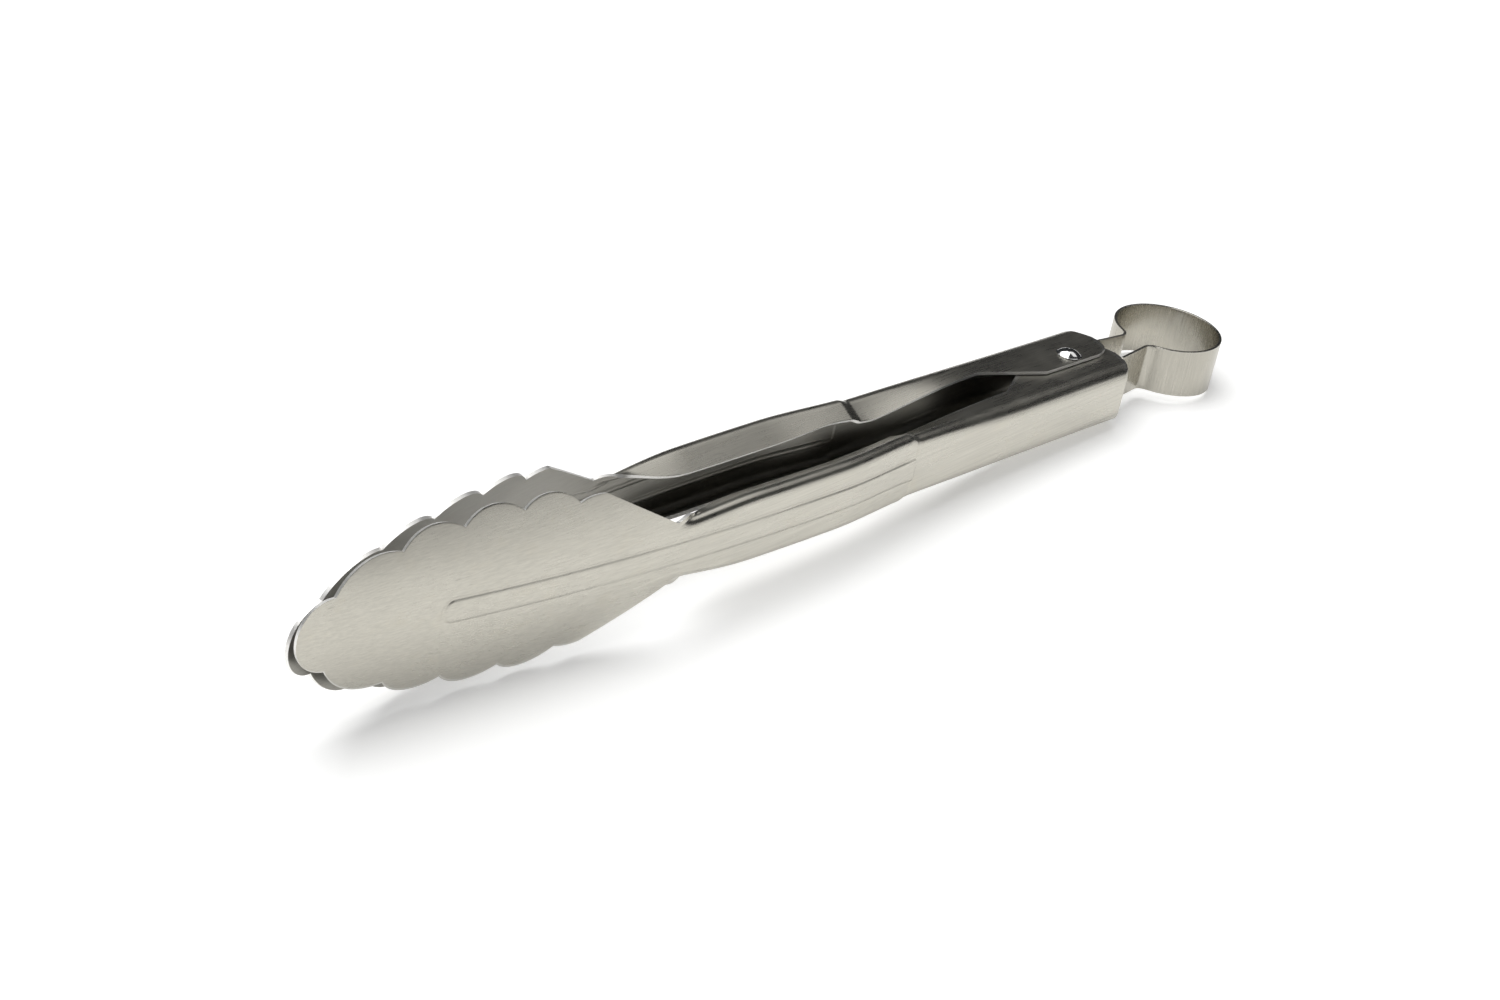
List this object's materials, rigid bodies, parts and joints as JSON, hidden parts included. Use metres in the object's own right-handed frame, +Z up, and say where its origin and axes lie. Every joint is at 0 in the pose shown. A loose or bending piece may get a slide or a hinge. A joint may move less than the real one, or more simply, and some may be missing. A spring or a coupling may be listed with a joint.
{
  "type": "kitchen tongs",
  "caption": "Stainless steel locking kitchen tongs with scalloped scoop ends, a pull ring lock and a torsion spring at the pivot.",
  "frame": {"origin": "centre of the overall box at its base, on the table that the tongs lie on", "axes": "+X from the head to the pull ring, +Y across the tongs, +Z up"},
  "size_m": [0.3448, 0.0318, 0.0473],
  "materials": {
    "arm_steel": "satin, brushed lengthwise",
    "rivet_steel": "polished dome",
    "sleeve_steel": "plain turned",
    "spring_steel": "drawn wire",
    "ring_steel": "satin, brushed across the strip"
  },
  "bodies": {
    "pivot": {"pivot_rivet": "rivet_steel", "spacer_sleeve": "sleeve_steel", "torsion_spring": "spring_steel"},
    "near_arm": {"near_arm": "arm_steel"},
    "far_arm": {"far_arm": "arm_steel"},
    "lock_ring": {"lock_ring": "ring_steel"}
  },
  "joints": [
    {"name": "near_arm_hinge", "type": "hinge", "parent": "pivot", "child": "near_arm", "pos_m": [0.10718, 0, 0.0112], "axis": [0.0557, 0, 0.9984], "range_deg": [0, 13], "deforming": ["torsion_spring"]},
    {"name": "far_arm_hinge", "type": "hinge", "parent": "pivot", "child": "far_arm", "pos_m": [0.10718, 0, 0.0112], "axis": [0.0557, 0, 0.9984], "range_deg": [-13, 0]},
    {"name": "lock_slide", "type": "slide", "parent": "pivot", "child": "lock_ring", "axis": [-0.9984, 0, 0.0557], "range_m": [0, 0.0161]}
  ],
  "couplings": [
    {"joint": "far_arm_hinge", "follows": "near_arm_hinge", "ratio": -1},
    {"joint": "lock_slide", "follows": "near_arm_hinge", "m_per_rad": 0.0705}
  ]
}
